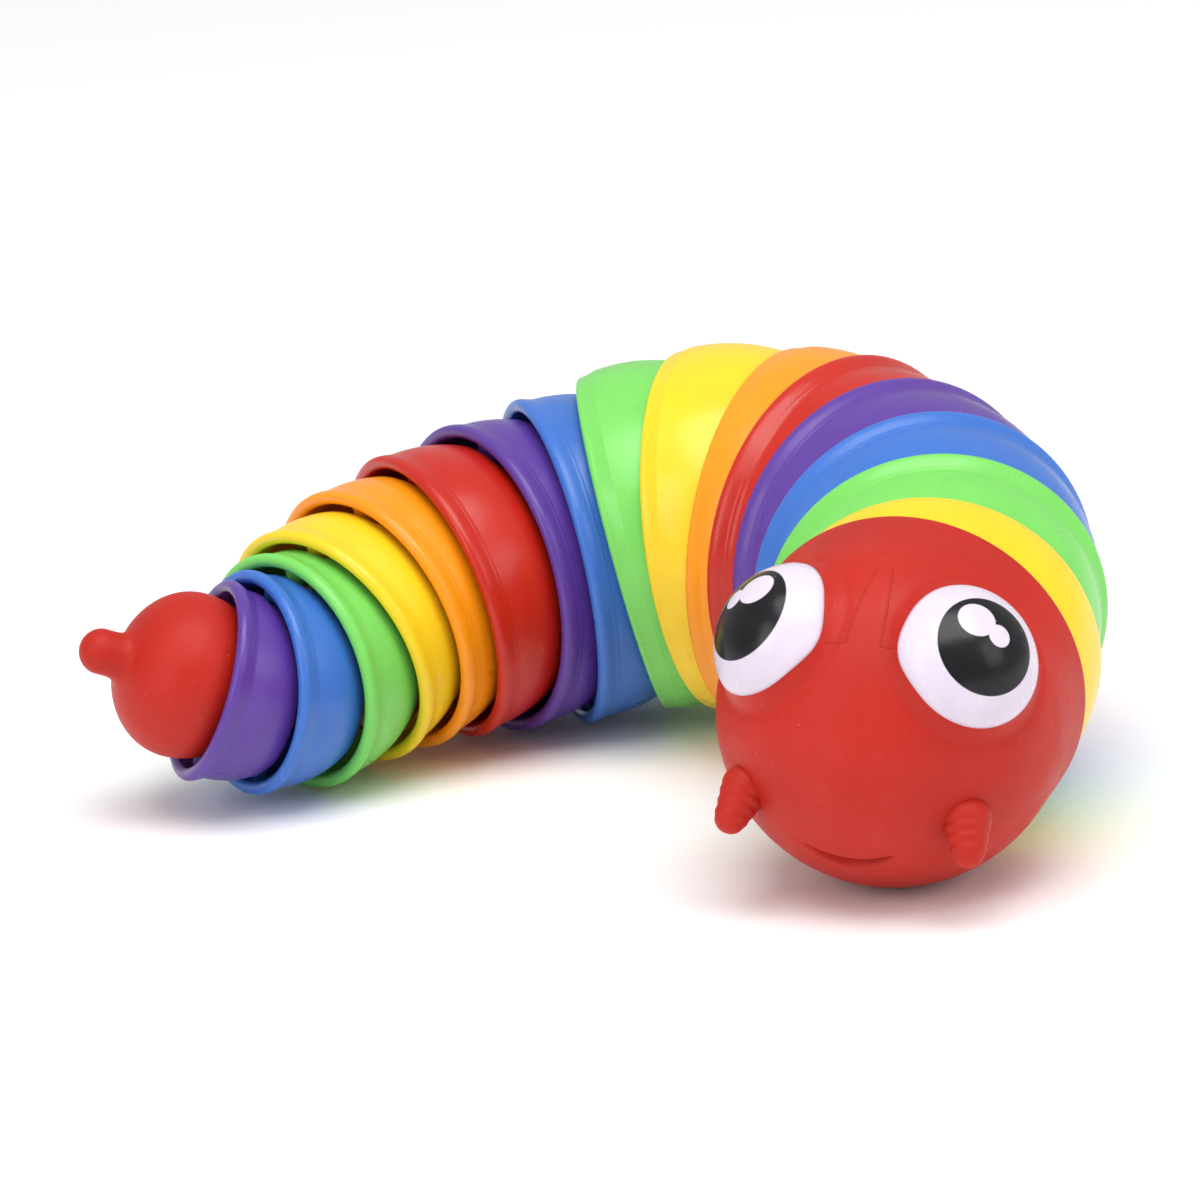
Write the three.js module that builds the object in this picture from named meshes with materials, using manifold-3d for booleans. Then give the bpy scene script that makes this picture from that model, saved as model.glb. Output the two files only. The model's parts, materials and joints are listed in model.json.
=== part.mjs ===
// Jointed toy worm: a head, sixteen nesting rings and a tail tip, each snapped onto the next.
// Millimetres, +Z up. The belly rests on z = 0, and the origin is at the middle of the base.
import * as THREE from 'three';
import { mergeVertices } from 'three/addons/utils/BufferGeometryUtils.js';
import Module from 'manifold-3d';

const wasm = await Module();
wasm.setup();

// Driving sizes. Pieces are numbered from the tail: 1 is the tail tip, 2 to 17 the rings, 18 the head.
const LAST_RING = 17;
const HEAD = 18;
const WIDEST_RING = 13;
const WIDEST_RADIUS = 22.5;
const TAIL_RING_RADIUS = 11.5;
const NECK_RING_RADIUS = 18.4;
const HEAD_RADIUS = 19.0;
const TAIL_BALL_RADIUS = 9.4;
const WALL = 1.4;
const STEP_PER_RADIUS = 0.447;      // rim to rim distance, as a share of the ring radius
const LIP_LENGTH = 1.2;
const LIP_HEIGHT = 0.4;             // a lip stands this far proud of its own dome at least
const TAIL_GAP = 0.8;               // play between a dome and the next ring's lip, tail half
const FRONT_GAP = 0.6;              // the same, front half
const LAST_LOOSE_RING = 9;
const COVERED_ANGLE = 0.8;          // degrees by which a dome's front edge stays under the next lip
const SIDES = 16;
const DOME_STEPS = 3;
const FLAT_SIDE = Math.cos(Math.PI / SIDES);   // a bore with flat sides keeps its radius at their middles

// Hinge post across every piece, and the fork that snaps round the neighbour's post.
const POST_RADIUS = 1.4;
const POST_INSET = 0.6;             // the post ends this far under the dome's surface
const POST_GAP = 0.4;
const POST_SET_BACK = 2.6;          // least distance from a rim to its own post
const EYE_BORE = 2.2;
const EYE_OUTER = 3.6;
const EYE_LOW = 1.8;                // the two eyes lie between these heights, above and below the arm
const EYE_HIGH = 3.6;
const ARM_HALF_HEIGHT = 1.2;
const ARM_HALF_WIDTH = 1.8;
const SNAP_GAP_HALF_ANGLE = 0.55;

const FULL_SIZE_REACH = 7.9;        // pieces with posts closer than this get a smaller post and fork

// How the body lies at rest: the heading of every piece, seen from above, anticlockwise from +X.
const HEADINGS = [18, 15, 31, 43, 46, 41, 29, 31, 15, -1, -17, -30, -46, -61, -75, -88, -99, -110];
const TURN_LIMIT = 17;
const TAIL_TILTS = [-24, -21, -9, 3, 15];      // the last pieces curl up off the table, degrees
const BELLY_LIFTS = [0.33, 0.6, 0.8, 0.2, 0.1, 1.2, 1.6, 0, 0, 2.0, 2.8, 2.8, 1.9];   // rings 5 to 17
const FIRST_LIFTED = TAIL_TILTS.length;

// Head.
const HEAD_RIM_SETBACK = 8.8;       // the head's rim lies this far behind the centre of its ball
const HEAD_POST_SETBACK = 5.0;
const HEAD_TILT = -6;
const FACE_LEAN = -5;               // the face is turned about the line straight ahead, degrees
const EYE_ACROSS = 51;              // direction of each eye from straight ahead, degrees
const EYE_UP = 40;
const EYE_CENTRE = 14.2;
const EYE_RADIUS = 9.0;
const STICKER_GAP = 0.3;
const STICKER_THICKNESS = 0.4;
const STICKER_HALF_ANGLE = 62;
const HORN_ACROSS = 42;              // where on the face a horn stands, degrees
const HORN_UP = -15;
const HORN_POINTS_ACROSS = 20;       // and the way it points
const HORN_POINTS_UP = -45;
const HORN_LENGTH = 7.8;            // with the part that is sunk in the face
const HORN_SUNK = 2.4;
const HORN_BASE = 3.2;
const HORN_TIP = 1.7;

// Tail tip.
const TAIL_FLATTEN = 0.83;          // the back half of the tail ball is this much shorter than round
const NUB_RADIUS = 2.6;
const NUB_CENTRE = 10.0;
const TAIL_RIM = 2.3;               // ring 2's rim lies this far ahead of the tail ball's centre

const RED = 0xd42d19;
const RING_COLOURS = [0x5f3c9b, 0x4278cd, 0x6ed75f, 0xfade28, 0xf5910a, RED];

const degrees = Math.PI / 180;

// ---------- sizes that follow from the driving sizes ----------

function rimRadius(piece) {
  if (piece === HEAD) {
    return HEAD_RADIUS + 0.1;
  }
  if (piece <= WIDEST_RING) {
    const back = (WIDEST_RING - piece) / (WIDEST_RING - 2);
    return WIDEST_RADIUS - (WIDEST_RADIUS - TAIL_RING_RADIUS) * back ** 1.15;
  }
  const ahead = (piece - WIDEST_RING) / (LAST_RING - WIDEST_RING);
  return WIDEST_RADIUS - (WIDEST_RADIUS - NECK_RING_RADIUS) * ahead ** 0.9;
}

// A ring's numbers: rim radius, dome radius, how far its post is ahead of its own rim,
// and how far the next piece's rim is ahead of its post.
function ringSizes(piece) {
  const rim = rimRadius(piece);
  const nextBore = rimRadius(piece + 1) - WALL;
  const gap = piece <= LAST_LOOSE_RING ? TAIL_GAP : FRONT_GAP;
  const step = STEP_PER_RADIUS * (rim + rimRadius(piece + 1)) / 2;
  const wanted = Math.sqrt(Math.max(0, (rim - LIP_HEIGHT + gap) ** 2 - nextBore ** 2));
  const postAhead = Math.max(POST_SET_BACK, step - wanted);
  const nextRim = step - postAhead;
  const dome = Math.hypot(nextRim, nextBore) - gap;
  return { rim, dome, postAhead, nextRim, nextBore };
}

const sizes = [];
sizes[1] = { dome: TAIL_BALL_RADIUS, nextRim: TAIL_RIM };
for (let piece = 2; piece <= LAST_RING; piece += 1) {
  sizes[piece] = ringSizes(piece);
}
sizes[HEAD] = { rim: rimRadius(HEAD), dome: HEAD_RADIUS, postAhead: HEAD_RIM_SETBACK - HEAD_POST_SETBACK };

// Distance from a piece's own post back to the post of the piece behind it.
function reach(piece) {
  return sizes[piece - 1].nextRim + sizes[piece].postAhead;
}

// Size of the post of a piece, and of the fork that holds it, as a share of the full size.
function linkScale(piece) {
  if (piece === HEAD) {
    return 1;
  }
  const nearest = Math.min(piece > 1 ? reach(piece) : Infinity, reach(piece + 1));
  return Math.min(1, nearest / FULL_SIZE_REACH);
}

// Height of a piece's post above the table: the body's radius there, and the lift of its belly.
function postHeight(piece) {
  if (piece === HEAD) {
    return HEAD_RADIUS * FLAT_SIDE - HEAD_POST_SETBACK * Math.sin(HEAD_TILT * degrees);
  }
  const { rim, postAhead, nextRim } = sizes[piece];
  if (piece === WIDEST_RING || piece === WIDEST_RING - 1) {
    return WIDEST_RADIUS * FLAT_SIDE;
  }
  const radius = rim + (rimRadius(piece + 1) - rim) * postAhead / (postAhead + nextRim);
  return radius * FLAT_SIDE + BELLY_LIFTS[piece - FIRST_LIFTED];
}

// A piece leans as far as the heights of its own post and its neighbour's make it.
// The widest ring sits level, and the pieces at the tail curl up.
function restTilt(piece) {
  if (piece <= TAIL_TILTS.length) {
    return TAIL_TILTS[piece - 1];
  }
  return Math.asin((postHeight(piece) - postHeight(piece - 1)) / reach(piece)) / degrees;
}

function pieceTurn(heading, tilt) {
  const euler = new THREE.Euler(0, -tilt * degrees, heading * degrees, 'ZYX');
  return new THREE.Quaternion().setFromEuler(euler);
}

// Where each post stands and how each piece is turned. The chain is laid from the head to the tail.
function layOut() {
  const turn = [];
  const post = [];
  for (let piece = 1; piece <= HEAD; piece += 1) {
    turn[piece] = pieceTurn(HEADINGS[piece - 1], restTilt(piece));
  }
  post[HEAD] = new THREE.Vector3(0, 0, postHeight(HEAD));
  for (let piece = HEAD; piece >= 2; piece -= 1) {
    const back = new THREE.Vector3(-reach(piece), 0, 0);
    post[piece - 1] = back.applyQuaternion(turn[piece]).add(post[piece]);
  }
  return { turn, post };
}

const place = layOut();
const ahead = new THREE.Vector3(1, 0, 0);
const upright = new THREE.Vector3(0, 0, 1);

// How the next piece is turned, seen from this one. They hinge about this piece's post.
function nextTurn(piece) {
  return place.turn[piece].clone().invert().multiply(place.turn[piece + 1]);
}

// The bend of the hinge at rest, in degrees.
function restBend(piece) {
  const direction = ahead.clone().applyQuaternion(nextTurn(piece));
  return Math.atan2(direction.y, direction.x) / degrees;
}

// The same as nextTurn, with the hinge bent by a given angle and not as it is at rest.
function bentTurn(piece, bend) {
  const unbend = new THREE.Quaternion().setFromAxisAngle(upright, (bend - restBend(piece)) * degrees);
  return unbend.multiply(nextTurn(piece));
}

// Greatest angle between this piece and the next, when the hinge is at its limit.
function widestAngle(piece) {
  return ahead.angleTo(ahead.clone().applyQuaternion(bentTurn(piece, TURN_LIMIT)));
}

// ---------- solids ----------

// A closed three.js geometry as a manifold-3d solid.
function solid(geometry) {
  const bare = geometry.clone();
  bare.deleteAttribute('normal');
  bare.deleteAttribute('uv');
  const merged = mergeVertices(bare, 1e-4);
  const vertProperties = new Float32Array(merged.attributes.position.array);
  const triVerts = new Uint32Array(merged.index.array);
  return new wasm.Manifold(new wasm.Mesh({ numProp: 3, vertProperties, triVerts }));
}

function geometryOf(body) {
  const mesh = body.getMesh();
  const geometry = new THREE.BufferGeometry();
  geometry.setAttribute('position', new THREE.BufferAttribute(new Float32Array(mesh.vertProperties), 3));
  geometry.setIndex(new THREE.BufferAttribute(new Uint32Array(mesh.triVerts), 1));
  geometry.computeVertexNormals();
  return geometry;
}

// Turns a closed outline of [distance along X, radius] round the X axis, with a flat side at the bottom.
function turned(outline, sides = SIDES) {
  const points = outline.map(([along, radius]) => new THREE.Vector2(radius, along));
  const geometry = new THREE.LatheGeometry(points, sides, Math.PI / sides);
  geometry.rotateZ(-Math.PI / 2);
  return outward(solid(geometry), geometry);
}

// LatheGeometry faces out or in depending on which way its outline runs.
function outward(body, geometry) {
  if (body.volume() > 0) {
    return body;
  }
  const flipped = geometry.clone();
  const index = flipped.index.array;
  for (let i = 0; i < index.length; i += 3) {
    const first = index[i];
    index[i] = index[i + 1];
    index[i + 1] = first;
  }
  return solid(flipped);
}

function box(lowX, highX, halfY, lowZ, highZ) {
  const geometry = new THREE.BoxGeometry(highX - lowX, 2 * halfY, highZ - lowZ);
  return solid(geometry.translate((lowX + highX) / 2, 0, (lowZ + highZ) / 2));
}

function uprightCylinder(x, radius, halfHeight, sides) {
  const geometry = new THREE.CylinderGeometry(radius, radius, 2 * halfHeight, sides);
  return solid(geometry.rotateX(Math.PI / 2).translate(x, 0, 0));
}

// Distance ahead of its centre at which a dome ends. It stays covered when the next piece turns.
function domeFront(piece) {
  const { dome, nextRim } = sizes[piece];
  const nextBore = rimRadius(piece + 1) - WALL;
  return dome * Math.cos(Math.atan2(nextBore, nextRim) - widestAngle(piece) - COVERED_ANGLE * degrees);
}

// A ring's outside is a lip, a short taper, and then the dome, which is a ball round the post's middle.
// The taper ends before the reach of the next lip when that one turns as far as it can.
function ringShell(piece) {
  const { rim, dome, postAhead, nextRim, nextBore } = sizes[piece];
  const start = -postAhead;
  const lipEnd = start + LIP_LENGTH;
  const swept = Math.atan2(nextBore, nextRim) + widestAngle(piece) + degrees;
  const taperEnd = Math.max(dome * Math.cos(swept), lipEnd + 0.8);
  const outside = [[start, rim - WALL * 0.7], [start + 0.35, rim], [lipEnd, rim]];
  const bore = [[start + 0.3, (rim - WALL) / FLAT_SIDE]];
  const first = Math.acos(taperEnd / dome);
  const last = Math.acos(domeFront(piece) / dome);
  for (let i = 0; i <= DOME_STEPS; i += 1) {
    const turn = first + (last - first) * i / DOME_STEPS;
    const x = dome * Math.cos(turn);
    const radius = dome * Math.sin(turn);
    outside.push([x, radius]);
    if (i !== 1) {
      bore.push([x, (radius - WALL) / FLAT_SIDE]);
    }
  }
  return turned([...outside, ...bore.reverse(), outside[0]]);
}

function placed(body, position, turn) {
  const matrix = new THREE.Matrix4().compose(position, turn, new THREE.Vector3(1, 1, 1));
  return body.transform(matrix.elements);
}

// Cut in the front of a dome, top and bottom, in which the next piece's post swings.
function postSlot(piece) {
  const long = 2 * WIDEST_RADIUS;
  const radius = POST_RADIUS * linkScale(piece + 1) + POST_GAP;
  const sweep = [];
  for (const bend of [-TURN_LIMIT, TURN_LIMIT]) {
    const turn = bentTurn(piece, bend);
    const position = new THREE.Vector3(reach(piece + 1), 0, 0).applyQuaternion(turn);
    const swung = placed(uprightCylinder(0, radius, long, 12), position, turn);
    sweep.push(swung, swung.translate(long, 0, 0));
  }
  return wasm.Manifold.hull(sweep);
}

function post(dome, scale) {
  return uprightCylinder(0, POST_RADIUS * scale, dome - POST_INSET, 8);
}

// One eye of the fork: a C that opens towards the tail, so that it snaps over the post.
function snapEye(lowZ, scale) {
  const shape = new THREE.Shape();
  const from = -Math.PI + SNAP_GAP_HALF_ANGLE;
  const to = Math.PI - SNAP_GAP_HALF_ANGLE;
  shape.absarc(0, 0, EYE_OUTER * scale, from, to, false);
  shape.absarc(0, 0, EYE_BORE * scale, to, from, true);
  const options = { depth: (EYE_HIGH - EYE_LOW) * scale, bevelEnabled: false, curveSegments: 3 };
  return solid(new THREE.ExtrudeGeometry(shape, options).translate(0, 0, lowZ * scale));
}

// Arm from a piece's own post back to the neighbour's post, with an eye above and below.
// The eyes stand square to the neighbour's post, which may lean from this piece's own.
function fork(piece) {
  const scale = linkScale(piece - 1);
  const length = reach(piece);
  const front = (EYE_BORE + 0.3) * scale;
  const neck = box(front - length, 0, ARM_HALF_WIDTH * scale, -ARM_HALF_HEIGHT * scale, ARM_HALF_HEIGHT * scale);
  const yoke = box(front, EYE_OUTER * scale, ARM_HALF_WIDTH * scale, -EYE_HIGH * scale, EYE_HIGH * scale);
  const grip = yoke.add(snapEye(EYE_LOW, scale)).add(snapEye(-EYE_HIGH, scale));
  const neighbour = upright.clone().applyQuaternion(nextTurn(piece - 1).invert());
  const lean = new THREE.Quaternion().setFromUnitVectors(upright, neighbour);
  return neck.add(placed(grip, new THREE.Vector3(-length, 0, 0), lean));
}

function ring(piece) {
  const shell = ringShell(piece).subtract(postSlot(piece));
  return shell.add(post(sizes[piece].dome, linkScale(piece))).add(fork(piece));
}

// Points on a ball's outline between two directions. The back half is flattened along X.
function tailArc(radius, from, to, steps) {
  const points = [];
  for (let i = 0; i <= steps; i += 1) {
    const turn = from + (to - from) * i / steps;
    const x = radius * Math.cos(turn);
    points.push([x < 0 ? x * TAIL_FLATTEN : x, radius * Math.sin(turn)]);
  }
  return points;
}

function tailTip() {
  const front = domeFront(1);
  const bore = TAIL_BALL_RADIUS - WALL;
  const outline = [[-NUB_CENTRE - NUB_RADIUS, 0]];
  for (let i = 1; i <= 3; i += 1) {
    const turn = i * 30 * degrees;
    outline.push([-NUB_CENTRE - NUB_RADIUS * Math.cos(turn), NUB_RADIUS * Math.sin(turn)]);
  }
  const foot = Math.PI - Math.asin((NUB_RADIUS + 0.6) / TAIL_BALL_RADIUS);
  const ball = tailArc(TAIL_BALL_RADIUS, foot, Math.acos(front / TAIL_BALL_RADIUS), 6);
  outline.push([ball[0][0] - 0.8, NUB_RADIUS + 0.1], ...ball);
  outline.push(...tailArc(bore, Math.acos(front / bore), Math.PI - 0.3, 4), [-bore * TAIL_FLATTEN, 0]);
  return turned(outline).subtract(postSlot(1)).add(post(TAIL_BALL_RADIUS, linkScale(1)));
}

// Everything on the head is placed from its own post; its ball is centred ahead of that.
// The outline runs from the front of the face back to the rim, and forward again inside.
function headShell() {
  const centre = HEAD_POST_SETBACK;
  const rimX = centre - HEAD_RIM_SETBACK;
  const rim = rimRadius(HEAD);
  const bore = HEAD_RADIUS - WALL;
  const outline = [[centre + HEAD_RADIUS, 0]];
  for (let i = 1; i < 7; i += 1) {
    const turn = Math.PI / 2 * i / 7;
    outline.push([centre + HEAD_RADIUS * Math.cos(turn), HEAD_RADIUS * Math.sin(turn)]);
  }
  outline.push([centre - 2, HEAD_RADIUS], [rimX + 0.35, rim], [rimX, rim - WALL * 0.7]);
  outline.push([rimX + 0.3, (rim - WALL) / FLAT_SIDE]);
  for (let i = 5; i > 0; i -= 1) {
    const turn = Math.PI / 2 * i / 5;
    outline.push([centre + bore * Math.cos(turn), bore * Math.sin(turn)]);
  }
  outline.push([centre + bore, 0]);
  return turned(outline);
}

// Turns something built along +X from the middle of the head to face a direction on the head.
function faceTurn(geometry, across, up) {
  geometry.rotateY(-up * degrees);
  geometry.rotateZ(across * degrees);
  return geometry.rotateX(FACE_LEAN * degrees);
}

function onHead(geometry, across, up) {
  return faceTurn(geometry, across, up).translate(HEAD_POST_SETBACK, 0, 0);
}

function eyeBulge(side) {
  const ball = new THREE.SphereGeometry(EYE_RADIUS, 14, 8).translate(EYE_CENTRE, 0, 0);
  return solid(onHead(ball, side * EYE_ACROSS, EYE_UP));
}

// A blunt cone standing out of the lower face and pointing down.
function horn(side) {
  const cone = new THREE.CylinderGeometry(HORN_TIP, HORN_BASE, HORN_LENGTH, 12).rotateZ(-Math.PI / 2);
  cone.translate(HORN_LENGTH / 2 - HORN_SUNK, 0, 0);
  const spot = new THREE.BufferGeometry().setFromPoints([new THREE.Vector3(HEAD_RADIUS, 0, 0)]);
  const foot = onHead(spot, side * HORN_ACROSS, HORN_UP).attributes.position;
  faceTurn(cone, side * HORN_POINTS_ACROSS, HORN_POINTS_UP);
  return solid(cone.translate(foot.getX(0), foot.getY(0), foot.getZ(0)));
}

function headPiece() {
  const cavity = solid(new THREE.SphereGeometry(HEAD_RADIUS - WALL, 16, 8).translate(HEAD_POST_SETBACK, 0, 0));
  let trim = eyeBulge(1).add(eyeBulge(-1)).add(horn(1)).add(horn(-1)).subtract(cavity);
  trim = trim.add(headShell());
  return trim.add(post(HEAD_RADIUS, 1)).add(fork(HEAD));
}

// The printed eye: a thin cap that follows the bulge.
function eyeSticker(side) {
  const inner = EYE_RADIUS + STICKER_GAP;
  const outer = inner + STICKER_THICKNESS;
  const outline = [];
  const steps = 4;
  for (let i = 0; i <= steps; i += 1) {
    const turn = STICKER_HALF_ANGLE * degrees * i / steps;
    outline.push([EYE_CENTRE + outer * Math.cos(turn), outer * Math.sin(turn)]);
  }
  for (let i = steps; i >= 0; i -= 1) {
    const turn = STICKER_HALF_ANGLE * degrees * i / steps;
    outline.push([EYE_CENTRE + inner * Math.cos(turn), inner * Math.sin(turn)]);
  }
  const cap = geometryOf(turned(outline, 16));
  return solid(onHead(cap, side * EYE_ACROSS, EYE_UP));
}

// ---------- assembly ----------

function mesh(name, body, piece, colour, roughness) {
  const material = new THREE.MeshStandardMaterial({ color: colour, roughness, metalness: 0 });
  const node = new THREE.Mesh(geometryOf(body), material);
  node.name = name;
  node.position.copy(place.post[piece]);
  node.quaternion.copy(place.turn[piece]);
  return node;
}

const group = new THREE.Group();
group.add(mesh('tail_tip', tailTip(), 1, RED, 0.5));
for (let piece = 2; piece <= LAST_RING; piece += 1) {
  const number = String(piece - 1).padStart(2, '0');
  group.add(mesh(`ring_${number}`, ring(piece), piece, RING_COLOURS[(piece - 2) % 6], 0.25));
}
group.add(mesh('head', headPiece(), HEAD, RED, 0.5));
group.add(mesh('eye_sticker_left', eyeSticker(1), HEAD, 0xf2ecf4, 0.3));
group.add(mesh('eye_sticker_right', eyeSticker(-1), HEAD, 0xf2ecf4, 0.3));

// Stand the toy on z = 0 with its box centred on the origin.
const extent = new THREE.Box3().setFromObject(group, true);
const middle = extent.getCenter(new THREE.Vector3());
group.position.set(-middle.x, -middle.y, -extent.min.z);

export default group;
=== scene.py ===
"""Jointed toy worm: a head, sixteen nesting rings and a tail tip, on a pale studio floor.

Pieces are numbered from the tail: 1 is the tail tip, 2 to 17 the rings, 18 the head.
Each piece is built in its own frame, with the origin on its hinge post and +X towards the head.
Sizes are in millimetres until a mesh is made.
"""

import json
import math

import bmesh
import bpy
import numpy as np
from mathutils import Matrix, Vector


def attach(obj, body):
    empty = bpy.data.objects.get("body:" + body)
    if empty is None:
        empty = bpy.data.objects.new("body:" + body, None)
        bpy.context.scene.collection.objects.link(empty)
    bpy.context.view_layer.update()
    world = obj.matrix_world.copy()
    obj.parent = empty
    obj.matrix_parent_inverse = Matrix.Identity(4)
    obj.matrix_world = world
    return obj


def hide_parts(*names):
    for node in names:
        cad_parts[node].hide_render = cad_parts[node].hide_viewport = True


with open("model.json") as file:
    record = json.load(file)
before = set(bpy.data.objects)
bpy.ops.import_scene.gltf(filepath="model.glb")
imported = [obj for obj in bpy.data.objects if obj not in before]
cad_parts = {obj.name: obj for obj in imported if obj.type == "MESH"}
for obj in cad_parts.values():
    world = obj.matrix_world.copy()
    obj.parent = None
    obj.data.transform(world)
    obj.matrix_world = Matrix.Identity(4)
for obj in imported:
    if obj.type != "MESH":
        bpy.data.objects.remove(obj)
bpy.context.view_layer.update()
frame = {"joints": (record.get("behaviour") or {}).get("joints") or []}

MM = 0.001
LAST_RING = 17
HEAD = 18

# Driving sizes, the same as the CAD model's.
WIDEST_RING = 13
WIDEST_RADIUS = 22.5
TAIL_RING_RADIUS = 11.5
NECK_RING_RADIUS = 18.4
HEAD_RADIUS = 19.0
TAIL_BALL_RADIUS = 9.4
WALL = 1.4
STEP_PER_RADIUS = 0.447
LIP_HEIGHT = 0.4
TAIL_GAP = 0.8
FRONT_GAP = 0.6
LAST_LOOSE_RING = 9
POST_SET_BACK = 2.6
TURN_LIMIT = 17
COVERED_ANGLE = 0.8
FULL_SIZE_REACH = 7.9
HEAD_RIM_SETBACK = 8.8
HEAD_POST_SETBACK = 5.0
TAIL_RIM = 2.3
HEAD_HEADING = -110
HEAD_TILT = -6.08

# Hinge post and the fork that snaps round the neighbour's post.
POST_RADIUS = 1.4
POST_GAP = 0.4
EYE_BORE = 2.2
EYE_OUTER = 3.6
EYE_LOW = 1.8
EYE_HIGH = 3.6
ARM_HALF_HEIGHT = 1.2
ARM_HALF_WIDTH = 1.8
SNAP_GAP_HALF_ANGLE = 0.55

# Looks of a ring's rim. The play is between a drawn dome and the next lip; the drawn front domes
# sit closer under the lips than the CAD model's, whose play is TAIL_GAP and FRONT_GAP.
LIP_THICKNESS = 1.5
FRONT_LIP_THICKNESS = 1.15
SEAM_DISTANCE = 2.3
SEAM_HEIGHT = 0.035
SEAM_WIDTH = 0.14
TAIL_PLAY = 0.85
FRONT_PLAY = 0.18
ROUND_STEPS = 144
SLOT_FADE = 1.6

# Face. The printed film is drawn thinner and closer to the bulge than the CAD model's cap.
EYE_ACROSS = 51
EYE_UP = 40
EYE_CENTRE = 14.2
EYE_RADIUS = 9.0
STICKER_LIFT = 0.12
STICKER_THICKNESS = 0.22
STICKER_HALF_ANGLE = 62
PUPIL_RADIUS = 5.8
CORNER_TURN = 18
EYE_GROOVE_DEPTH = 0.10
EYE_GROOVE_AT = 29.5
EYE_GROOVE_WIDTH = 1.8
EYE_FILLET = 0.7
HORN_ACROSS = 42
HORN_UP = -15
HORN_POINTS_ACROSS = 20
HORN_POINTS_UP = -45
HORN_LENGTH = 7.8
HORN_SUNK = 2.4
HORN_BASE = 3.2
HORN_TIP = 1.7
SMILE_DOWN = -33
SMILE_DEPTH = 1.22
SMILE_HALF_WIDTH = 5.4
FACE_LEAN = -5

TAIL_FLATTEN = 0.83
NUB_RADIUS = 2.6
NUB_CENTRE = 10.0

RED = (0.52, 0.016, 0.006)
SOFT_RED = (0.47, 0.014, 0.005)
RING_COLOURS = [
    ("purple", (0.105, 0.042, 0.310)),
    ("blue", (0.045, 0.165, 0.560)),
    ("green", (0.190, 0.640, 0.115)),
    ("yellow", (0.900, 0.620, 0.014)),
    ("orange", (0.900, 0.310, 0.006)),
    ("red", RED),
]


# ---------- sizes that follow from the driving sizes ----------


def rim_radius(piece):
    if piece == HEAD:
        return HEAD_RADIUS + 0.1
    if piece <= WIDEST_RING:
        back = (WIDEST_RING - piece) / (WIDEST_RING - 2)
        return WIDEST_RADIUS - (WIDEST_RADIUS - TAIL_RING_RADIUS) * back**1.15
    ahead = (piece - WIDEST_RING) / (LAST_RING - WIDEST_RING)
    return WIDEST_RADIUS - (WIDEST_RADIUS - NECK_RING_RADIUS) * ahead**0.9


def ring_sizes(piece):
    """Rim radius, distance from the rim to the post, and from the post to the next rim."""
    rim = rim_radius(piece)
    next_bore = rim_radius(piece + 1) - WALL
    gap = TAIL_GAP if piece <= LAST_LOOSE_RING else FRONT_GAP
    step = STEP_PER_RADIUS * (rim + rim_radius(piece + 1)) / 2
    wanted = math.sqrt(max(0, (rim - LIP_HEIGHT + gap) ** 2 - next_bore**2))
    post_ahead = max(POST_SET_BACK, step - wanted)
    return {"rim": rim, "post_ahead": post_ahead, "next_rim": step - post_ahead}


SIZES = {1: {"rim": TAIL_BALL_RADIUS, "post_ahead": 0, "next_rim": TAIL_RIM}}
for number in range(2, LAST_RING + 1):
    SIZES[number] = ring_sizes(number)
SIZES[HEAD] = {
    "rim": rim_radius(HEAD),
    "post_ahead": HEAD_RIM_SETBACK - HEAD_POST_SETBACK,
    "next_rim": 0,
}


def reach(piece):
    """Distance from a piece's own post back to the post of the piece behind it."""
    return SIZES[piece - 1]["next_rim"] + SIZES[piece]["post_ahead"]


def link_scale(piece):
    nearest = min(reach(piece) if piece > 1 else math.inf, reach(piece + 1))
    return min(1, nearest / FULL_SIZE_REACH)


def dome_radius(piece):
    """A dome clears the rounded edge of the next lip by the play between them."""
    half = LIP_THICKNESS / 2
    lip = math.hypot(SIZES[piece]["next_rim"] + half, rim_radius(piece + 1) - half) - half
    return lip - (TAIL_PLAY if piece <= LAST_LOOSE_RING else FRONT_PLAY)


# ---------- where the pieces are ----------


def pivots():
    """The hinge posts of pieces 1 to 17, from the joints of the frame."""
    found = {}
    for joint in frame["joints"]:
        found[int(joint["name"].split("_")[1])] = np.array(joint["pos_m"]) / MM
    return found


def tail_angles():
    """Heading and tilt of the tail tip, from the axis of its hinge."""
    axis = next(joint["axis"] for joint in frame["joints"] if joint["name"] == "link_01")
    heading = math.atan2(axis[1], axis[0])
    return math.degrees(heading), -math.degrees(math.acos(axis[2]))


def directions(heading, tilt):
    """Rows: forward, left and up of a piece with this heading and tilt, in degrees."""
    h, t = math.radians(heading), math.radians(tilt)
    forward = np.array([math.cos(t) * math.cos(h), math.cos(t) * math.sin(h), math.sin(t)])
    left = np.array([-math.sin(h), math.cos(h), 0])
    return np.array([forward, left, np.cross(forward, left)])


def angles_of(forward):
    heading = math.degrees(math.atan2(forward[1], forward[0]))
    return heading, math.degrees(math.asin(forward[2] / np.linalg.norm(forward)))


def lay_out():
    """Each piece's post and its three directions."""
    posts = pivots()
    axes = {}
    for piece in range(2, LAST_RING + 1):
        axes[piece] = directions(*angles_of(posts[piece] - posts[piece - 1]))
    axes[HEAD] = directions(HEAD_HEADING, HEAD_TILT)
    posts[HEAD] = posts[LAST_RING] + reach(HEAD) * axes[HEAD][0]
    axes[1] = directions(*tail_angles())
    return posts, axes


POSTS, AXES = lay_out()


def bent_turn(piece, bend):
    """Rows: forward, left and up of the next piece seen from this one, hinged to a bend in degrees."""
    seen = AXES[piece + 1] @ AXES[piece].T
    turn = math.radians(bend) - math.atan2(seen[0][1], seen[0][0])
    cos, sin = math.cos(turn), math.sin(turn)
    return seen @ np.array([[cos, sin, 0], [-sin, cos, 0], [0, 0, 1]])


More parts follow.
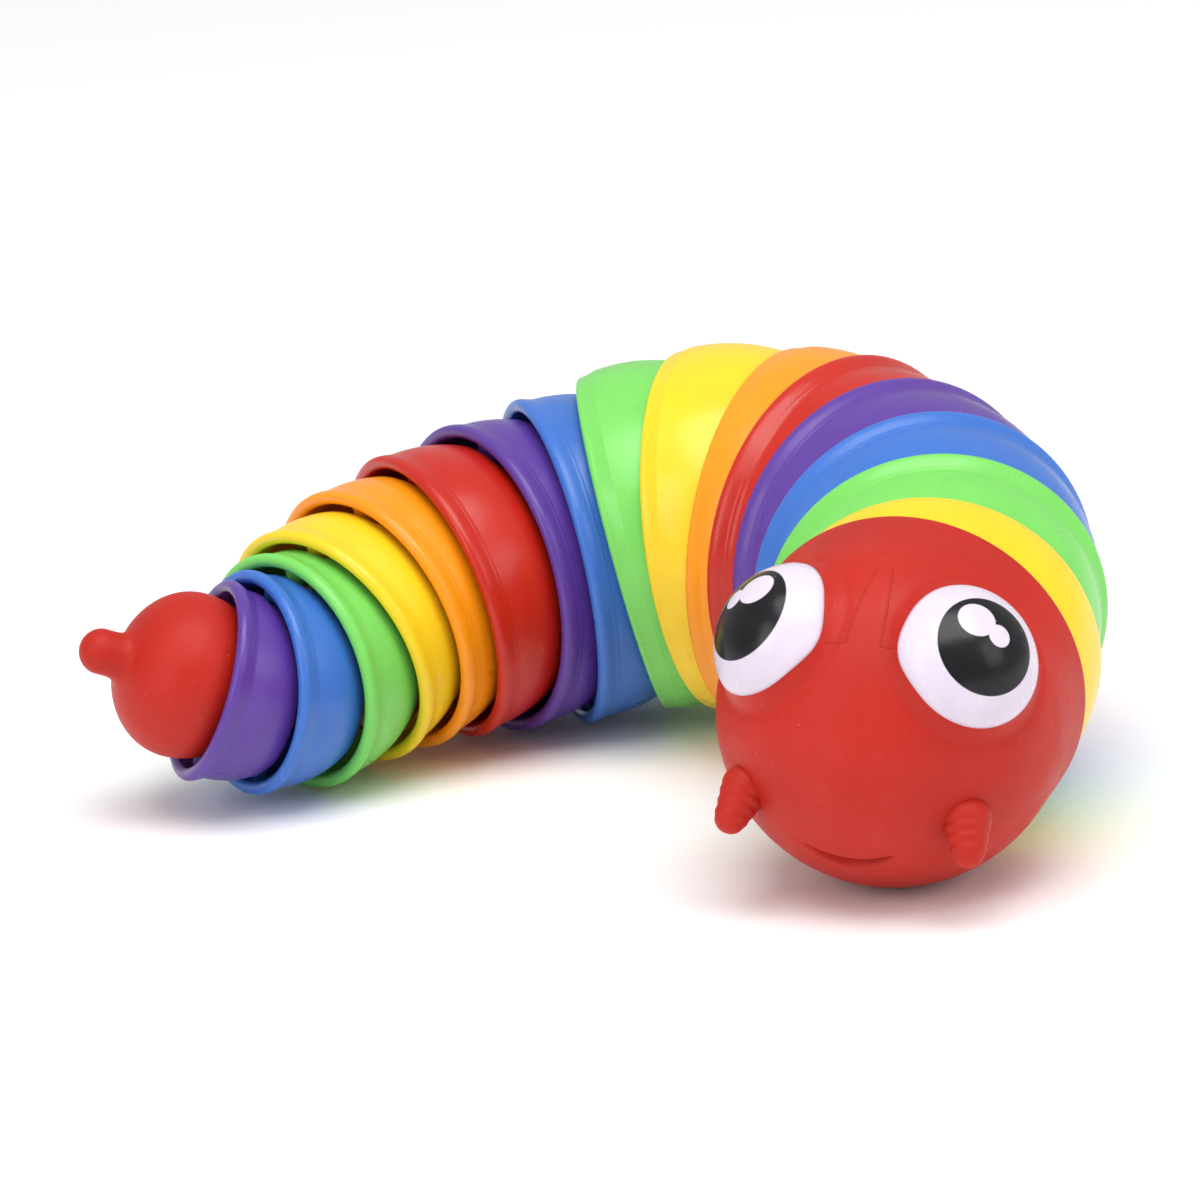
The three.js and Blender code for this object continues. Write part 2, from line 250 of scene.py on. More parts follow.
def widest_angle(piece):
    """Greatest angle between this piece and the next."""
    return math.acos(bent_turn(piece, TURN_LIMIT)[0][0])


def node_of(piece):
    if piece == 1:
        return "tail_tip"
    return "head" if piece == HEAD else f"ring_{piece - 1:02d}"


# ---------- making meshes ----------


def smoothstep(value, low, high):
    t = np.clip((value - low) / (high - low), 0, 1)
    return t * t * (3 - 2 * t)


def make_mesh(name, points, faces, material):
    """A mesh object with smooth shading, its faces turned outward."""
    mesh = bpy.data.meshes.new(name)
    mesh.from_pydata([tuple(p) for p in np.asarray(points) * MM], [], faces)
    work = bmesh.new()
    work.from_mesh(mesh)
    bmesh.ops.recalc_face_normals(work, faces=work.faces)
    work.to_mesh(mesh)
    work.free()
    mesh.polygons.foreach_set("use_smooth", [True] * len(mesh.polygons))
    mesh.materials.append(material)
    obj = bpy.data.objects.new(name, mesh)
    bpy.context.scene.collection.objects.link(obj)
    return obj


def wrap(rows, closed):
    """Points and faces of a grid that closes round its columns.

    A closed grid also joins its last row to its first. An open one has its two ends capped by
    one point each, taken as the mean of its first and of its last row.
    """
    count, around, _ = rows.shape
    points = rows.reshape(-1, 3)
    faces = []
    for r in range(count if closed else count - 1):
        low, high = r * around, (r + 1) % count * around
        for c in range(around):
            n = (c + 1) % around
            faces.append((low + c, low + n, high + n, high + c))
    if not closed:
        ends = np.array([rows[0].mean(axis=0), rows[-1].mean(axis=0)])
        last = (count - 1) * around
        for c in range(around):
            n = (c + 1) % around
            faces.append((c, len(points), n))
            faces.append((last + c, last + n, len(points) + 1))
        points = np.concatenate([points, ends])
    return points, faces


def turn_points(outline, around):
    """Turns [distance along X, radius] pairs round the X axis."""
    angle = np.linspace(0, 2 * math.pi, around, endpoint=False)
    along, radius = np.asarray(outline, float).T
    rows = np.empty((len(along), around, 3))
    rows[:, :, 0] = along[:, None]
    rows[:, :, 1] = radius[:, None] * np.cos(angle)
    rows[:, :, 2] = radius[:, None] * np.sin(angle)
    return rows


def in_place(obj, piece):
    """Moves a mesh from its piece's own frame to its place, and makes it ride on the piece's body."""
    rows = AXES[piece]
    turn = Matrix([[rows[j][i] for j in range(3)] for i in range(3)]).to_4x4()
    obj.matrix_world = Matrix.Translation(Vector(POSTS[piece] * MM)) @ turn
    bpy.context.view_layer.update()
    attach(obj, "body_" + node_of(piece))
    return obj


def arc(x, radius, size, start, end, steps):
    """Points on a circle in the outline plane, from one angle to another, in degrees."""
    turn = np.radians(np.linspace(start, end, steps))
    return [(x + size * math.cos(a), radius + size * math.sin(a)) for a in turn]


# ---------- rings ----------


def skirt(start, end, steps):
    """A curve from one point to another that leaves along X and arrives with a given slope."""
    (x0, r0), (x1, r1, slope) = start, end
    t = np.linspace(0, 1, steps + 2)[1:-1]
    span = x1 - x0
    points = []
    for s in t:
        h00 = 2 * s**3 - 3 * s**2 + 1
        h01 = 3 * s**2 - 2 * s**3
        h11 = s**3 - s**2
        points.append((x0 + span * s, h00 * r0 + h01 * r1 + h11 * slope * span))
    return points


def ring_outline(piece):
    """The outline of a ring up to its dome, as (outside, angle where the dome starts, dome's front angle,
    dome radius).
    """
    size = SIZES[piece]
    dome = dome_radius(piece)
    start = -size["post_ahead"]
    thick = LIP_THICKNESS if piece <= LAST_LOOSE_RING else FRONT_LIP_THICKNESS
    rim = size["rim"] - LIP_THICKNESS + thick
    half = thick / 2
    lip = arc(start + half, rim - half, half, 270, 90, 13)
    top = lip[-1]
    edge = math.atan2(rim_radius(piece + 1) - WALL, size["next_rim"])
    swept = edge + widest_angle(piece) + math.radians(1)
    join = max(dome * math.cos(swept), top[0] + 1.9)
    slope = -join / math.sqrt(dome**2 - join**2)
    outside = lip + skirt(top, (join, math.sqrt(dome**2 - join**2), slope), 18)
    first = math.acos(join / dome)
    last = edge - widest_angle(piece) - math.radians(COVERED_ANGLE)
    return outside, first, last, dome


def seam_bump(along, start, piece):
    """The faint raised line round a ring, a little way in from its rim."""
    distance = SEAM_DISTANCE * min(1, SIZES[piece]["rim"] / 13.5)
    return SEAM_HEIGHT * np.exp(-(((along - start - distance) / SEAM_WIDTH) ** 2))


def slotted_front(piece, dome, last, angle):
    """Where a dome ends at every angle round it, with the slots for the next piece's post."""
    post = POST_RADIUS * (link_scale(piece + 1) if piece + 1 < HEAD else 1)
    room = post + POST_GAP
    front = np.full_like(angle, last)
    for end in (1, -1):
        height = end * dome * 0.97
        swung = []
        for bend in (-TURN_LIMIT, TURN_LIMIT):
            turn = bent_turn(piece, bend)
            foot = turn[0] * reach(piece + 1)
            swung.append(foot + turn[2] * (height - foot[2]) / turn[2][2])
        slot_x = min(point[0] for point in swung) - room - 0.1
        low = min(point[1] for point in swung) - room - 0.2
        high = max(point[1] for point in swung) + room + 0.2
        slot_angle = math.acos(min(0.999, max(slot_x, 0.05) / dome))
        across = dome * math.sin(slot_angle) * np.cos(angle)
        outside = np.maximum(low - across, across - high)
        share = (1 - smoothstep(outside, 0, SLOT_FADE)) * (end * np.sin(angle) > 0)
        front = np.maximum(front, last + (slot_angle - last) * share)
    return front


def ring_rows(piece):
    """The closed outline of a ring at every angle round it.

    The dome's front edge is set back above and below, where the next piece's post swings.
    """
    outside, first, last, dome = ring_outline(piece)
    start = -SIZES[piece]["post_ahead"]
    half = WALL / 2
    angle = np.linspace(0, 2 * math.pi, ROUND_STEPS, endpoint=False)
    front = slotted_front(piece, dome, last, angle)
    rows = []
    fine = np.array(refine(outside))
    bump = seam_bump(fine[:, 0], start, piece)
    for (x, radius), lift in zip(fine, bump):
        rows.append((np.full_like(angle, x), np.full_like(angle, radius + lift)))
    for s in np.linspace(0, 1, 15):
        turn = first + (front - first) * s
        extra = seam_bump(dome * np.cos(turn), start, piece)
        rows.append((dome * np.cos(turn), dome * np.sin(turn) + extra))
    middle = dome - half
    for a in np.radians(np.linspace(60, -60, 5)):
        radius = middle + half * math.sin(a)
        turn = front - half * math.cos(a) / dome
        rows.append((radius * np.cos(turn), radius * np.sin(turn)))
    inner = dome - WALL
    for s in np.linspace(1, 0, 6):
        turn = first + (front - first) * s
        rows.append((inner * np.cos(turn), inner * np.sin(turn)))
    points = np.empty((len(rows), ROUND_STEPS, 3))
    for i, (along, radius) in enumerate(rows):
        points[i, :, 0] = along
        points[i, :, 1] = radius * np.cos(angle)
        points[i, :, 2] = radius * np.sin(angle)
    return points


def refine(outline, longest=0.14):
    """Adds points to an outline so that no step is longer than this."""
    points = [outline[0]]
    for a, b in zip(outline, outline[1:]):
        steps = max(1, math.ceil(math.dist(a, b) / longest))
        for i in range(1, steps + 1):
            s = i / steps
            points.append((a[0] + (b[0] - a[0]) * s, a[1] + (b[1] - a[1]) * s))
    return points


def ring(piece, material):
    points, faces = wrap(ring_rows(piece), closed=True)
    node = node_of(piece)
    obj = make_mesh(node + "_shell", points, faces, material)
    in_place(obj, piece)
    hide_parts(node)
    return obj


# ---------- links inside the rings ----------


def prism(outline, low, high):
    """Points and faces of an upright prism over a closed outline in the XY plane."""
    count = len(outline)
    points = [(x, y, low) for x, y in outline] + [(x, y, high) for x, y in outline]
    faces = [tuple(range(count)), tuple(range(count, 2 * count))]
    for i in range(count):
        n = (i + 1) % count
        faces.append((i, n, count + n, count + i))
    return points, faces


def snap_eye(scale):
    """Outline of a C that opens towards the tail."""
    turn = np.linspace(-math.pi + SNAP_GAP_HALF_ANGLE, math.pi - SNAP_GAP_HALF_ANGLE, 25)
    outer = [(EYE_OUTER * scale * math.cos(a), EYE_OUTER * scale * math.sin(a)) for a in turn]
    inner = [(EYE_BORE * scale * math.cos(a), EYE_BORE * scale * math.sin(a)) for a in turn]
    return outer + inner[::-1]


def block(low_x, high_x, half_y):
    return [(low_x, -half_y), (high_x, -half_y), (high_x, half_y), (low_x, half_y)]


def join_parts(parts):
    points, faces = [], []
    for more, its_faces in parts:
        faces += [tuple(i + len(points) for i in face) for face in its_faces]
        points += [tuple(p) for p in more]
    return points, faces


def leaning(points, piece):
    """Stands the grip of a piece square to the post of the piece behind, at that post."""
    up = AXES[piece] @ AXES[piece - 1][2]
    turn = Vector((0, 0, 1)).rotation_difference(Vector(up)).to_matrix()
    return np.asarray(points) @ np.array(turn).T - np.array([reach(piece), 0, 0])


def link(piece, material):
    """The hinge post of a piece, and the fork that reaches back to the piece behind."""
    parts = []
    if piece > 1:
        scale = link_scale(piece - 1)
        front = (EYE_BORE + 0.3) * scale
        yoke_end = (EYE_OUTER - 0.15) * scale
        high, low = EYE_HIGH * scale, EYE_LOW * scale
        arm = ARM_HALF_HEIGHT * scale
        wide = ARM_HALF_WIDTH * scale
        grip = [
            prism(block(front + 0.02, yoke_end, wide - 0.02), -high + 0.03, high - 0.03),
            prism(snap_eye(scale), low, high),
            prism(snap_eye(scale), -high, -low),
        ]
        parts.append(prism(block(front - reach(piece), 0, wide), -arm, arm))
        parts += [(leaning(points, piece), faces) for points, faces in grip]
    scale = 1 if piece == HEAD else link_scale(piece)
    size = POST_RADIUS * scale
    dome = HEAD_RADIUS if piece == HEAD else TAIL_BALL_RADIUS if piece == 1 else dome_radius(piece)
    end = dome - WALL / 2
    turn = np.linspace(0, 2 * math.pi, 24, endpoint=False)
    circle = [(size * math.cos(a), size * math.sin(a)) for a in turn]
    parts.append(prism(circle, -end, end))
    points, faces = join_parts(parts)
    obj = make_mesh(node_of(piece) + "_link", points, faces, material)
    bevel = obj.modifiers.new("rounded edges", "BEVEL")
    bevel.width = 0.18 * scale * MM
    bevel.segments = 2
    bevel.limit_method = "ANGLE"
    bevel.angle_limit = math.radians(50)
    obj.data.polygons.foreach_set("use_smooth", [False] * len(obj.data.polygons))
    in_place(obj, piece)
    return obj


# ---------- tail tip ----------


def tail_arc(radius, start, end, steps):
    """Points on the tail ball's outline between two directions. Its back half is flattened."""
    points = []
    for a in np.linspace(start, end, steps):
        x = radius * math.cos(a)
        points.append((x * TAIL_FLATTEN if x < 0 else x, radius * math.sin(a)))
    return points


def tail_tip(material):
    """A ball with a round nub behind and an open mouth in front."""
    ball = TAIL_BALL_RADIUS
    edge = math.atan2(rim_radius(2) - WALL, TAIL_RIM)
    front = edge - widest_angle(1) - math.radians(COVERED_ANGLE)
    outline = arc(-NUB_CENTRE, 0, NUB_RADIUS, 178, 100, 12)
    foot = math.pi - math.asin((NUB_RADIUS + 1.0) / ball)
    foot_x, foot_r = ball * math.cos(foot) * TAIL_FLATTEN, ball * math.sin(foot)
    for s in np.linspace(0, 1, 9)[1:-1]:
        x = -NUB_CENTRE + (foot_x + NUB_CENTRE) * s
        outline.append((x, NUB_RADIUS * 0.985 + (foot_r - NUB_RADIUS) * s**5))
    outline += tail_arc(ball, foot, front, 40)
    bore = ball - WALL
    half = WALL / 2
    for a in np.radians(np.linspace(60, -60, 5)):
        turn = front - half * math.cos(a) / ball
        radius = ball - half + half * math.sin(a)
        outline.append((radius * math.cos(turn), radius * math.sin(turn)))
    outline += tail_arc(bore, front, math.pi - 0.02, 20)
    points, faces = wrap(turn_points(outline, ROUND_STEPS), closed=False)
    obj = make_mesh("tail_tip_shell", points, faces, material)
    in_place(obj, 1)
    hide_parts("tail_tip")
    return obj


# ---------- head ----------


def face_direction(across, up):
    """A direction on the head: degrees to the left of straight ahead, and up."""
    a, u, lean = math.radians(across), math.radians(up), math.radians(FACE_LEAN)
    x, y, z = math.cos(u) * math.cos(a), math.cos(u) * math.sin(a), math.sin(u)
    return np.array([x, y * math.cos(lean) - z * math.sin(lean), y * math.sin(lean) + z * math.cos(lean)])


def smooth_max(a, b, width):
    """The larger of two values, with a fillet of about this width where they meet."""
    h = np.clip(0.5 + 0.5 * (a - b) / width, 0, 1)
    return b + (a - b) * h + width * h * (1 - h)


def bulge(direction, side):
    """Radius of the eye bulge seen from the middle of the head, or 0 where it isn't met."""
    towards = face_direction(side * EYE_ACROSS, EYE_UP)
    cos = direction @ towards
    inside = EYE_RADIUS**2 - EYE_CENTRE**2 * (1 - cos**2)
    met = (inside > 0) & (cos > 0)
    return np.where(met, EYE_CENTRE * cos + np.sqrt(np.maximum(inside, 0)), 0), cos


def face_radius(direction):
    """Radius of the outside of the head in each direction."""
    radius = np.full(direction.shape[0], HEAD_RADIUS)
    for side in (1, -1):
        out, cos = bulge(direction, side)
        foot = np.degrees(np.arccos(np.clip(cos, -1, 1)))
        groove = EYE_GROOVE_DEPTH * np.exp(-(((foot - EYE_GROOVE_AT) / EYE_GROOVE_WIDTH) ** 2))
        radius = smooth_max(radius - groove, out, EYE_FILLET)
    return radius - smile_depth(direction)


def smile_depth(direction):
    """A crescent groove: between an upper and a deeper lower curve."""
    middle = face_direction(0, SMILE_DOWN)
    across = face_direction(90, 0)
    up = np.cross(middle, across)
    x = direction @ across * HEAD_RADIUS
    y = direction @ up * HEAD_RADIUS
    t = np.clip(x / SMILE_HALF_WIDTH, -1, 1)
    low = -1.55 + 2.6 * t**2
    high = 0.1 + 0.95 * t**2
    near = smoothstep(y, low - 0.25, low + 0.35) * (1 - smoothstep(y, high - 0.75, high + 0.35))
    ends = 1 - smoothstep(np.abs(x), SMILE_HALF_WIDTH - 1.0, SMILE_HALF_WIDTH + 0.2)
    return SMILE_DEPTH * near * ends * (direction @ middle > 0.5)


def head_rows():
    """Rows of the head: its outside from the front back to the rim, then its inside."""
    around = 320
    angle = np.linspace(0, 2 * math.pi, around, endpoint=False)
    rim_x = -HEAD_RIM_SETBACK
    rim = SIZES[HEAD]["rim"]
    rows = []
    for turn in np.radians(np.linspace(0.25, 90, 210)):
        ring_of = np.stack(
            [
                np.full_like(angle, math.cos(turn)),
                math.sin(turn) * np.cos(angle),
                math.sin(turn) * np.sin(angle),
            ],
            axis=1,
        )
        rows.append(ring_of * face_radius(ring_of)[:, None])
    back = rows[-1]
    half = LIP_THICKNESS / 2
    for s in np.linspace(0, 1, 24)[1:]:
        x = (rim_x + half) * s
        ring_of = np.stack([np.full_like(angle, x), np.cos(angle), np.sin(angle)], axis=1)
        blend = 1 - smoothstep(s, 0, 1)
        far = np.hypot(back[:, 1], back[:, 2])
        reach_here = far * blend + rim * (1 - blend)
        ring_of[:, 1] *= reach_here
        ring_of[:, 2] *= reach_here
        rows.append(ring_of)
    inside = arc(rim_x + half, rim - half, half, 90, 270, 11)[1:]
    bore = HEAD_RADIUS - WALL
    inside += [(x, rim - LIP_THICKNESS) for x in np.linspace(rim_x + half + 0.4, -0.2, 6)]
    inside += [(bore * math.cos(a), bore * math.sin(a)) for a in np.linspace(math.pi / 2, 0.01, 20)]
    return np.concatenate([np.array(rows), turn_points(inside, around)])


def head(material):
    rows = head_rows()
    rows[:, :, 0] += HEAD_POST_SETBACK
    points, faces = wrap(rows, closed=False)
    obj = make_mesh("head_shell", points, faces, material)
    in_place(obj, HEAD)
    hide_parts("head")
    return obj


def on_head(points, across, up):
    """Turns points built along +X from the middle of the head to face a direction on the head."""
    forward = face_direction(across, up)
    left = np.cross(face_direction(0, 90), forward)
    left /= np.linalg.norm(left)
    axes = np.array([forward, left, np.cross(forward, left)])
    return np.asarray(points) @ axes + np.array([HEAD_POST_SETBACK, 0, 0])


def horn(side, material):
    """A short ribbed cone with a round tip, standing out of the lower face and pointing down."""
    outline = []
    for s in np.linspace(0, 1, 60):
        x = -HORN_SUNK + (HORN_LENGTH - 0.8 * HORN_TIP) * s
        taper = HORN_BASE - (HORN_BASE - HORN_TIP) * s
        root = math.sqrt(1 - max(0, 1 - s / 0.42) ** 2)
        rib = 0.05 * math.cos(2 * math.pi * s * 5.5) * smoothstep(s, 0.35, 0.5)
        outline.append((x, taper * root + rib))
    tip_x, tip_r = outline[-1]
    for a in np.radians(np.linspace(80, 4, 12)):
        outline.append((tip_x + tip_r * 0.85 * (math.cos(a) - 0.15), tip_r * math.sin(a)))
    points, faces = wrap(turn_points(outline, 64), closed=False)
    foot = face_direction(side * HORN_ACROSS, HORN_UP) * HEAD_RADIUS
    points = on_head(points, side * HORN_POINTS_ACROSS, HORN_POINTS_UP) + foot
    name = "left" if side > 0 else "right"
    obj = make_mesh("horn_" + name, points, faces, material)
    in_place(obj, HEAD)
    return obj


def raised_line(name, stops, width, material):
    """A thin raised line on the head through [across, up] stops, in degrees."""
    path = []
    for (a0, u0), (a1, u1) in zip(stops, stops[1:]):
        for s in np.linspace(0, 1, 14, endpoint=False):
            path.append((a0 + (a1 - a0) * s, u0 + (u1 - u0) * s))
    path.append(stops[-1])
    way = np.array([face_direction(a, u) for a, u in path])
    way *= (face_radius(way) - width * 0.35)[:, None]
    rows = []
    for i, point in enumerate(way):
        along = way[min(i + 1, len(way) - 1)] - way[max(i - 1, 0)]
        along /= np.linalg.norm(along)
        out = point / np.linalg.norm(point)
        side = np.cross(along, out)
        size = width * (0.25 if i in (0, len(way) - 1) else 1)
        turn = np.linspace(0, 2 * math.pi, 8, endpoint=False)
        rows.append([point + size * (math.cos(t) * side + math.sin(t) * out) for t in turn])
    points, faces = wrap(np.array(rows), closed=False)
    points = points + np.array([HEAD_POST_SETBACK, 0, 0])
    obj = make_mesh(name, points, faces, material)
    in_place(obj, HEAD)
    return obj


def eye_sticker(side, material):
    """A thin printed cap on the eye bulge, with a soft corner on its inner side.

    Its UVs are millimetres across and up from the middle of the eye, outward being positive.
    """
    around, steps = 96, 26
    low = EYE_RADIUS + STICKER_LIFT - STICKER_THICKNESS
    high = EYE_RADIUS + STICKER_LIFT
    angle = np.linspace(0, 2 * math.pi, around, endpoint=False)
    corner = math.radians(CORNER_TURN) if side < 0 else math.pi - math.radians(CORNER_TURN)
    reach_of = math.radians(STICKER_HALF_ANGLE) * (
        1 + 0.075 * np.maximum(0, np.cos(angle - corner)) ** 14
    )
    rows = []
    for radius, shares in ((high, np.linspace(0.002, 1, steps)), (low, np.linspace(1, 0.002, 8))):
        for s in shares:
            turn = reach_of * s
            drop = 0.12 * smoothstep(s, 0.93, 1.0) if radius == high else 0
            rows.append(
                np.stack(
                    [
                        EYE_CENTRE + (radius - drop) * np.cos(turn),
                        (radius - drop) * np.sin(turn) * np.cos(angle),
                        (radius - drop) * np.sin(turn) * np.sin(angle),
                    ],
                    axis=1,
                )
            )
    flat, faces = wrap(np.array(rows), closed=False)
    points = on_head(flat, side * EYE_ACROSS, EYE_UP)
    name = "eye_left" if side > 0 else "eye_right"
    obj = make_mesh(name, points, faces, material)
    layer = obj.data.uv_layers.new(name="print")
    spread = np.hypot(flat[:, 1], flat[:, 2]) + 1e-9
    turn = np.arctan2(spread, flat[:, 0] - EYE_CENTRE)
    across = side * flat[:, 1] / spread * turn * high
    up = flat[:, 2] / spread * turn * high
    for loop in obj.data.loops:
        layer.data[loop.index].uv = (across[loop.vertex_index], up[loop.vertex_index])
    in_place(obj, HEAD)
    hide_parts("eye_sticker_left" if side > 0 else "eye_sticker_right")
    return obj


# ---------- materials ----------


class Nodes:
    """Short calls for building a material's nodes."""

    def __init__(self, name):
        self.material = bpy.data.materials.new(name + "_look")
        self.material["slot"] = name
        self.material.use_nodes = True
        self.tree = self.material.node_tree
        self.shader = self.tree.nodes["Principled BSDF"]

    def add(self, kind, **values):
        node = self.tree.nodes.new(kind)
        for key, value in values.items():
            setattr(node, key, value)
        return node

    def link(self, source, target):
        self.tree.links.new(source, target)

    def position(self):
        return self.add("ShaderNodeTexCoord").outputs["Object"]

    def noise(self, scale, detail=3.0, rough=0.5, stretch=None):
        """Noise in the piece's own frame; scale is in waves per metre."""
        node = self.add("ShaderNodeTexNoise")
        node.inputs["Scale"].default_value = scale
        node.inputs["Detail"].default_value = detail
        node.inputs["Roughness"].default_value = rough
        where = self.position()
        if stretch:
            mapping = self.add("ShaderNodeMapping")
            mapping.inputs["Scale"].default_value = stretch
            mapping.inputs["Rotation"].default_value = (0.4, 0.9, 0.3)
            self.link(where, mapping.inputs["Vector"])
            where = mapping.outputs["Vector"]
        self.link(where, node.inputs["Vector"])
        return node.outputs["Fac"]

    def ramp(self, value, low, high, start=0.0, end=1.0):
        node = self.add("ShaderNodeMapRange")
        node.inputs["From Min"].default_value = low
        node.inputs["From Max"].default_value = high
        node.inputs["To Min"].default_value = start
        node.inputs["To Max"].default_value = end
        self.link(value, node.inputs["Value"])
        return node.outputs["Result"]

    def mix(self, factor, first, second):
        node = self.add("ShaderNodeMix", data_type="RGBA")
        self.link(factor, node.inputs["Factor"])
        for socket, colour in ((node.inputs[6], first), (node.inputs[7], second)):
            if isinstance(colour, tuple):
                socket.default_value = (*colour, 1)
            else:
                self.link(colour, socket)
        return node.outputs[2]

    def math(self, operation, first, second):
        node = self.add("ShaderNodeMath", operation=operation)
        for socket, value in ((node.inputs[0], first), (node.inputs[1], second)):
            if isinstance(value, (int, float)):
                socket.default_value = value
            else:
                self.link(value, socket)
        return node.outputs[0]

    def bump(self, height, distance, before=None):
        node = self.add("ShaderNodeBump")
        node.inputs["Strength"].default_value = 1.0
        node.inputs["Distance"].default_value = distance
        self.link(height, node.inputs["Height"])
        if before is not None:
            self.link(before, node.inputs["Normal"])
        return node.outputs["Normal"]


def shade(colour, factor):
    return tuple(min(1, channel * factor) for channel in colour)


def ring_plastic(name, colour):
    """Glossy injection-moulded plastic with slight mottling and very fine scuffs."""
    n = Nodes(name)
    flow = n.ramp(n.noise(90, 4), 0.3, 0.7)
    base = n.mix(flow, shade(colour, 0.93), shade(colour, 1.06))
    scuffs = n.ramp(n.noise(900, 5, 0.6, (1, 14, 1)), 0.68, 0.80)
    base = n.mix(n.math("MULTIPLY", scuffs, 0.10), base, (0.85, 0.85, 0.85))
    n.link(base, n.shader.inputs["Base Color"])
    n.link(n.ramp(n.noise(260, 3), 0.3, 0.7, 0.26, 0.36), n.shader.inputs["Roughness"])
    orange_peel = n.bump(n.noise(420, 2), 0.00004)
    fine = n.bump(scuffs, 0.000012, orange_peel)
    n.link(fine, n.shader.inputs["Normal"])
    n.shader.inputs["Subsurface Weight"].default_value = 0.25
    n.shader.inputs["Subsurface Radius"].default_value = tuple(0.3 + c for c in colour)
    n.shader.inputs["Subsurface Scale"].default_value = 0.0012
    n.shader.inputs["IOR"].default_value = 1.46
    return n.material


def specks(n, scale, share):
    """Small round marks: 1 on a mark, 0 elsewhere."""
    node = n.add("ShaderNodeTexVoronoi")
    node.inputs["Scale"].default_value = scale
    n.link(n.position(), node.inputs["Vector"])
    return n.ramp(node.outputs["Distance"], share, share * 0.4)


def soft_plastic(name, colour):
    """Matte soft plastic with a fine grain, dust, and light scratches."""
    n = Nodes(name)
    flow = n.ramp(n.noise(70, 4), 0.3, 0.7)
    base = n.mix(flow, shade(colour, 0.92), shade(colour, 1.08))
    some = n.ramp(n.noise(60, 2), 0.52, 0.62)
    dust = n.math("MULTIPLY", specks(n, 620, 0.08), some)
    haze = n.ramp(n.noise(130, 6, 0.7), 0.56, 0.80)
    scratch = n.ramp(n.noise(300, 5, 0.62, (1, 9, 1)), 0.66, 0.74)
    base = n.mix(n.math("MULTIPLY", haze, 0.03), base, (0.9, 0.5, 0.42))
    base = n.mix(n.math("MULTIPLY", scratch, 0.04), base, (0.9, 0.55, 0.48))
    base = n.mix(n.math("MULTIPLY", dust, 0.18), base, (0.92, 0.6, 0.5))
    n.link(base, n.shader.inputs["Base Color"])
    n.link(n.ramp(n.noise(220, 3), 0.3, 0.7, 0.46, 0.58), n.shader.inputs["Roughness"])
    grain = n.bump(n.noise(2400, 3, 0.6), 0.00003)
    n.link(n.bump(scratch, 0.00001, grain), n.shader.inputs["Normal"])
    n.shader.inputs["Subsurface Weight"].default_value = 0.3
    n.shader.inputs["Subsurface Radius"].default_value = (1.0, 0.25, 0.15)
    n.shader.inputs["Subsurface Scale"].default_value = 0.0012
    n.shader.inputs["IOR"].default_value = 1.45
    n.shader.inputs["Specular IOR Level"].default_value = 0.35
    return n.material


def disc(n, where, x, y, radius, soft=0.05):
    """1 inside a printed disc, 0 outside, in millimetres of the print."""
    apart = n.add("ShaderNodeVectorMath", operation="DISTANCE")
    n.link(where, apart.inputs[0])
    apart.inputs[1].default_value = (x, y, 0)
    return n.ramp(apart.outputs["Value"], radius + soft, radius - soft)


def printed_eye(name, large, small):
    """White film with a black pupil and two joined highlights, printed in flat colour."""
    n = Nodes(name)
    uv = n.add("ShaderNodeUVMap", uv_map="print").outputs["UV"]
    white = n.mix(n.ramp(n.noise(300, 3), 0.3, 0.7), (0.66, 0.58, 0.69), (0.71, 0.63, 0.74))
    pupil = disc(n, uv, 0, 0, PUPIL_RADIUS)
    lights = n.math("MAXIMUM", disc(n, uv, *large), disc(n, uv, *small))
    black = n.math("SUBTRACT", pupil, n.math("MULTIPLY", pupil, lights))
    dust = n.math("MULTIPLY", specks(n, 900, 0.10), n.ramp(n.noise(150, 2), 0.55, 0.62))
    ink = n.mix(n.math("MULTIPLY", dust, 0.5), (0.006, 0.006, 0.008), (0.5, 0.47, 0.42))
    n.link(n.mix(black, white, ink), n.shader.inputs["Base Color"])
    n.link(n.ramp(n.noise(500, 3), 0.3, 0.7, 0.20, 0.30), n.shader.inputs["Roughness"])
    n.link(n.bump(n.noise(500, 2), 0.00003), n.shader.inputs["Normal"])
    n.shader.inputs["IOR"].default_value = 1.48
    n.shader.inputs["Specular IOR Level"].default_value = 0.35
    return n.material


def floor_material():
    n = Nodes("studio_floor")
    n.link(
        n.mix(n.ramp(n.noise(3, 2), 0.3, 0.7), (0.93, 0.93, 0.93), (0.95, 0.95, 0.95)),
        n.shader.inputs["Base Color"],
    )
    n.shader.inputs["Roughness"].default_value = 0.9
    n.shader.inputs["Specular IOR Level"].default_value = 0.1
    return n.material


# ---------- studio ----------

CAMERA_AT = (1.17, -794.31, 267.31)
CAMERA_FORWARD = (0.0, 0.9560, -0.2935)
CAMERA_UP = (0.0553, 0.2931, 0.9545)
FOCAL_LENGTH = 225
FLOOR_HALF_SIDE = 6000
FLOOR_HEIGHT = -0.45


def camera():
    data = bpy.data.cameras.new("camera")
    data.lens = FOCAL_LENGTH
    data.sensor_width = 36
    data.clip_end = 100
    obj = bpy.data.objects.new("camera", data)
    forward = Vector(CAMERA_FORWARD).normalized()
    right = forward.cross(Vector(CAMERA_UP)).normalized()
    up = right.cross(forward)
    turn = Matrix([[right[i], up[i], -forward[i]] for i in range(3)]).to_4x4()
    obj.matrix_world = Matrix.Translation(Vector(CAMERA_AT) * MM) @ turn
    bpy.context.scene.collection.objects.link(obj)
    bpy.context.scene.camera = obj


